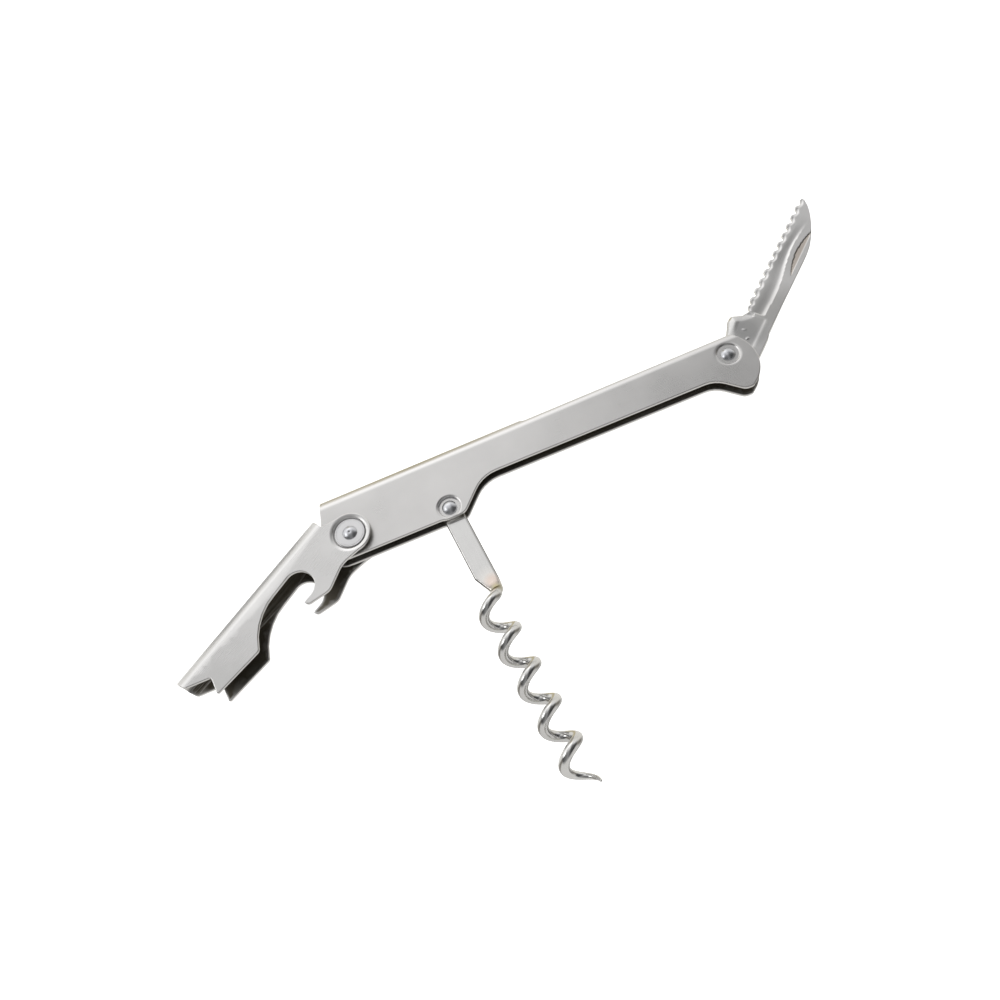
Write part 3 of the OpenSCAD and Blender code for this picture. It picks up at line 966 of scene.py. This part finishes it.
# painted shade: the strap's edges are painted darker than its faces
STRAP_SIDE = [(20.0, -2.72), (20.9, -2.35), (22.4, -1.72), (23.9, -1.08)]
edge_shade = []
for v in verts:
    s, t = turned((v[0] - WORM_PIVOT[0], v[1] - WORM_PIVOT[1]), -WORM_ANGLE)
    beyond = max(t - SHANK_HALF, line_at(STRAP_SIDE, s) - t)
    edge_shade.append(smooth((beyond + 0.36) / 0.2) * (1 - smooth((s - 22.5) / 1.5)))
make("worm_wire", verts, faces, None, worm_steel, "worm", ["worm"], {"inner": edge_shade})

# ---------------------------------------------------------------- knife

TANG_HALF = 1.05
BLADE_TOP = TANG_HALF
BLADE_LOW = TANG_HALF - SHEET_T
FIRST_TOOTH = 18.75
TOOTH_PITCH = 3.27
TOOTH_COUNT = 11


def knife_row(u, v, z):
    px, py = turned((u, v), KNIFE_ANGLE)
    return (KNIFE_PIVOT[0] + px, KNIFE_PIVOT[1] + py, MID_Z + z)


GROOVE_LOW = [
    (14.8, -4.1), (20, -4.4), (25, -4.35), (28, -4.1), (30, -3.8), (32, -3.45), (35, -3.1), (38, -2.9),
    (41, -3.0), (44, -3.3), (48, -3.8)
]


def groove(u, v):
    """Depth of the long hollow: a round-bottomed groove, square at its heel, fading to the point."""
    low = line_at(GROOVE_LOW, u)
    wide = 3.9 - 1.5 * smooth((u - 28) / 12)
    t = (v - low) / wide
    if t <= 0 or t >= 1:
        return 0.0
    deepest = 0.3
    if t < deepest:
        shape = math.sin(math.pi / 2 * t / deepest)
    else:
        shape = 1 - smooth((t - deepest) / (1 - deepest))
    return 0.18 * shape * smooth((u - 14.75) / 0.45) * (1 - smooth((u - 37) / 12))


LUG_LINE = [(4.0, 2.8), (6.2, 3.1), (8.4, 3.75), (10.4, 4.3), (12.2, 4.0), (13.3, 2.0), (14.8, 0.2)]


def segment_distance(p, a, b):
    d = (b[0] - a[0], b[1] - a[1])
    t = ((p[0] - a[0]) * d[0] + (p[1] - a[1]) * d[1]) / (d[0] ** 2 + d[1] ** 2)
    t = min(1.0, max(0.0, t))
    return math.hypot(p[0] - a[0] - t * d[0], p[1] - a[1] - t * d[1])


def nick(u, v):
    """Depth of the nail nick: deepest under its arched upper edge."""
    q = (u - 37.4) / 8.1
    if abs(q) >= 1:
        return 0.0
    low = -6.0
    high = low + 1.5 * (1 - q * q)
    if v < low or v > high + 0.22:
        return 0.0
    if v > high:
        return 0.3 * (1 - (v - high) / 0.22) * math.sqrt(1 - q * q)
    return 0.3 * (v - low) / (high - low) * math.sqrt(1 - q * q)


def tooth_shape(u, v):
    """Height of the ground edge relative to the flat: a soft scallop round each tooth's own boss."""
    k = round((u - FIRST_TOOTH) / TOOTH_PITCH)
    centre = FIRST_TOOTH + k * TOOTH_PITCH
    if u < 17.3:
        centre = 16.3
    swing = math.cos(2 * math.pi * (u - centre) / TOOTH_PITCH)
    band = smooth((v + 0.45 - 0.22 * swing) / 0.85)
    boss = math.exp(-(((u - centre) / 0.78) ** 2) - ((v - 0.72) / 0.55) ** 2)
    return -0.14 * band + 0.13 * boss


def lug_roll(u, v):
    """How far the skin falls towards the folded lug's round."""
    if u < 3.5 or u > 15.2 or v < -1.5:
        return 0.0
    near = min(segment_distance((u, v), a, b) for a, b in zip(LUG_LINE, LUG_LINE[1:]))
    return 0.42 * (1 - smooth(near / 2.4)) * (1 - smooth((u - 13.4) / 1.6))


def knife_top(u, v):
    top = BLADE_TOP - groove(u, v) - nick(u, v) - lug_roll(u, v)
    if u > 15.0:
        top += tooth_shape(u, v) * smooth((u - 15.0) / 0.5)
    dent_along = smooth((u - 4.0) / 1.5) * (1 - smooth((u - 13.6) / 1.1))
    dent_across = smooth((v + 5.3) / 1.0) * (1 - smooth((v - 1.0) / 1.4))
    top -= 0.1 * (dent_along * dent_across)
    for pu, pv in ((6.9, -2.6), (9.1, -0.8)):
        top += 0.16 * (1 - smooth(math.hypot(u - pu, v - pv) / 0.5))
    return top


def tang_end(v):
    """Where the folded back leaf of the tang ends."""
    if v > -4:
        return 15.3
    return 15.3 - (-4 - v) * (4.9 / 3.45)


def knife_low(u, v):
    leaf = 1 - smooth((u - tang_end(v)) / 0.25 + 0.5)
    return BLADE_LOW - (BLADE_LOW + TANG_HALF) * leaf


def knife_place(u, v, n):
    top, low = knife_top(u, v), knife_low(u, v)
    return knife_row(u, v, (top + low) / 2 + n * (top - low) / 2)


def knife_half(u, v):
    return max(0.08, (knife_top(u, v) - knife_low(u, v)) / 2)


def knife_edge(u, v):
    """Rim radius: wide round the folded lug, narrow on every other edge."""
    lug = smooth((u - 4.0) / 1.2) * (1 - smooth((u - 14.6) / 0.8)) * smooth((v - 0.3) / 1.2)
    return 0.12 + 0.75 * lug


lug = rounded(
    [(-4.2, 0.0), (-4.2, 3.2, 3), (4.6, 2.7, 2.0), (7.0, 3.2, 3.0), (10.4, 4.35, 1.9), (12.3, 4.15, 1.2),
     (13.7, 1.5, 2.5), (15.0, 0.05)]
)
TOOTH = [
    (-1.55, 0.42), (-1.2, 0.52), (-0.95, 0.85), (-0.6, 1.22), (-0.1, 1.4), (0.45, 1.3),
    (0.85, 0.98), (1.1, 0.58), (1.4, 0.42)
]
teeth = []
for k in range(TOOTH_COUNT):
    centre = FIRST_TOOTH + k * TOOTH_PITCH
    for du, dv in TOOTH:
        teeth.append((centre + du, dv - 0.02 * k))
heel = [(15.3, 0.15), (15.6, 0.55), (16.0, 0.85), (16.5, 0.92), (16.95, 0.7)]
point = [
    (53.1, 0.3), (53.5, 0.45), (53.95, 0.75), (54.4, 0.78), (54.8, 0.55), (54.95, 0.25), (54.85, -0.05)
]
belly = [
    (54.4, -0.6), (53.5, -1.5), (52, -2.6), (50, -3.72), (48, -4.65), (46.5, -5.25), (45, -5.8), (43, -6.42),
    (41.5, -6.8), (40, -7.05), (38, -7.22), (36, -7.27), (30, -7.2), (20, -7.08), (10.6, -7.0)
]
back = [(10.3, -7.05), (10.05, -7.25), (9.7, -7.35), (7.0, -7.4), (2.0, -7.35)]
foot = rounded([(2.0, -7.35), (-4.2, -6.6, 3.0), (-4.2, 0.0)])
knife_outline = thinned(lug[1:] + heel + teeth + point + belly + back + foot[1:-1], 0.05)
# vertices for the relief: a fine grid over the blade, a coarser one over the tang
grid = []
for i in range(int((55 - 14.2) / 0.24)):
    for j in range(int((1.4 + 7.2) / 0.22)):
        grid.append((14.2 + 0.24 * i + (0.06 if j % 2 else -0.06), -7.2 + 0.22 * j))
for i in range(int((14.0 + 4.0) / 0.4)):
    for j in range(int(12 / 0.4)):
        grid.append((-4.0 + 0.4 * i, -7.2 + 0.4 * j))
verts, faces, normals, rim, plane = sheet_mesh(
    knife_outline, knife_place, knife_half, knife_edge, holes=[(0.0, 0.0, 1.3, 32)], points=grid
)
# painted shade: the nail nick's hollow is painted a darker, warm colour
nick_shade = [smooth(nick(u, v) / 0.08) for u, v in plane] + [0.0] * (len(verts) - len(plane))
make(
    "knife_leaf", verts, faces, normals, knife_steel, "knife", ["knife_blade"],
    {"rim": rim, "warm": nick_shade}
)

for node in frame["nodes"].values():
    if not node.hide_render:
        node.data.materials.clear()
        node.data.materials.append(bush_steel)

# ---------------------------------------------------------------- floor, light, camera

floor_material = bpy.data.materials.new("floor")
floor_material.use_nodes = True
t = Nodes(floor_material.node_tree)
shader = t.add(
    "ShaderNodeBsdfPrincipled",
    {"Base Color": grey(0.9), "Roughness": 0.6, "Emission Color": grey(1.0), "Emission Strength": 1.0}
)
t.add("ShaderNodeOutputMaterial", {"Surface": shader.outputs[0]})
floor_mesh = bpy.data.meshes.new("floor")
FLOOR_HALF = 3.0
floor_corners = [(x * FLOOR_HALF, y * FLOOR_HALF, 0) for x, y in ((-1, -1), (1, -1), (1, 1), (-1, 1))]
floor_mesh.from_pydata(floor_corners, [], [(0, 1, 2, 3)])
floor = bpy.data.objects.new("floor", floor_mesh)
bpy.context.collection.objects.link(floor)
floor.location.z = -0.0002
floor.data.materials.append(floor_material)
floor.visible_glossy = False

world = bpy.data.worlds.new("studio")
bpy.context.scene.world = world
world.use_nodes = True
t = Nodes(world.node_tree)
toward = t.add("ShaderNodeSeparateXYZ", {"Vector": t.add("ShaderNodeTexCoord").outputs["Generated"]})


def across_sky(axis, lo, hi, out_lo, out_hi, how="LINEAR"):
    """A value that changes across the surroundings, along one axis of the direction."""
    return t.ramp(toward.outputs[axis], lo, hi, out_lo, out_hi, how)


# the studio's upper half: a pale tent, darker at both sides and towards the viewer, bright low at the back
wing = t.math("MULTIPLY", across_sky("X", -0.75, -0.5, 1.0, 0.0), across_sky("Y", 0.46, 0.6, 1.0, 0.0))
left = across_sky("X", -0.35, -0.07, 0.565, 1.0)
left = t.math("MULTIPLY", left, t.math("SUBTRACT", 1.0, t.math("MULTIPLY", wing, 0.65)))
right = across_sky("X", 0.0, 0.36, 0.94, 0.19, "SMOOTHSTEP")
back = t.math("MULTIPLY", across_sky("Z", 0.66, 0.84, 1.0, 0.0), across_sky("Y", 0.2, 0.5, 0.0, 1.0))
ceiling = across_sky("Y", -0.05, 0.3, 0.32, 1.0)
strength = t.math("MULTIPLY", t.math("MULTIPLY", left, right), ceiling)
strength = t.math("ADD", strength, t.math("MULTIPLY", back, 0.75))
above = across_sky("Z", 0.26, 0.46, 0.0, 1.0)
sky = t.add("ShaderNodeBackground", {"Color": (1.0, 0.996, 0.992, 1.0), "Strength": strength})
# its lower half, the bench that the steel's edges mirror: grey straight below and dark round that,
# pale towards the viewer, pale with a khaki band at the back
behind = across_sky("Y", 0.05, 0.35, 0.0, 1.0)
ahead = across_sky("Y", -0.20, -0.45, 0.0, 1.0)
khaki = t.math("MULTIPLY", across_sky("X", -0.28, -0.12, 0.0, 1.0), across_sky("X", 0.0, 0.1, 1.0, 0.15))
far_table = t.mix(khaki, tone((0.92, 0.91, 0.88)), tone((0.56, 0.50, 0.34)))
steep = across_sky("Z", -0.75, -0.45, 1.0, 0.0)
near_table = t.mix(steep, tone((0.22, 0.205, 0.18)), tone((0.56, 0.55, 0.53)))
table = t.mix(ahead, t.mix(behind, near_table, far_table), tone((0.74, 0.73, 0.71)))
bench = t.add("ShaderNodeBackground", {"Color": table, "Strength": 1.0})
both = t.add("ShaderNodeMixShader", {0: above, 1: bench.outputs[0], 2: sky.outputs[0]})
t.add("ShaderNodeOutputWorld", {"Surface": both.outputs[0]})


def softbox(name, place, at, width, height, power):
    light = bpy.data.lights.new(name, "AREA")
    light.shape = "RECTANGLE"
    light.size, light.size_y = width, height
    light.energy = power
    obj = bpy.data.objects.new(name, light)
    bpy.context.collection.objects.link(obj)
    obj.location = place
    obj.rotation_mode = "QUATERNION"
    obj.rotation_quaternion = (Vector(at) - Vector(place)).to_track_quat("-Z", "Y")


softbox("key", (-0.66, 0.2, 0.67), (0.03, 0.0, 0.0), 0.42, 0.42, 1.1)

camera_data = bpy.data.cameras.new("camera")
camera_data.lens = 37.54
camera_data.sensor_width = 36.0
camera_data.clip_start = 0.01
camera = bpy.data.objects.new("camera", camera_data)
bpy.context.collection.objects.link(camera)
camera.location = Vector((31.38, -123.19, 239.8)) * MM
right = Vector((0.9250, -0.3498, -0.1486))
forward = Vector((0.0251, 0.4465, -0.8944)).normalized()
right = (right - forward * right.dot(forward)).normalized()
up = right.cross(forward)
camera.rotation_mode = "QUATERNION"
matrix = camera.matrix_world.to_3x3()
matrix.col[0], matrix.col[1], matrix.col[2] = right, up, -forward
camera.rotation_quaternion = matrix.to_quaternion()
bpy.context.scene.camera = camera
bpy.context.scene.view_settings.view_transform = "Standard"
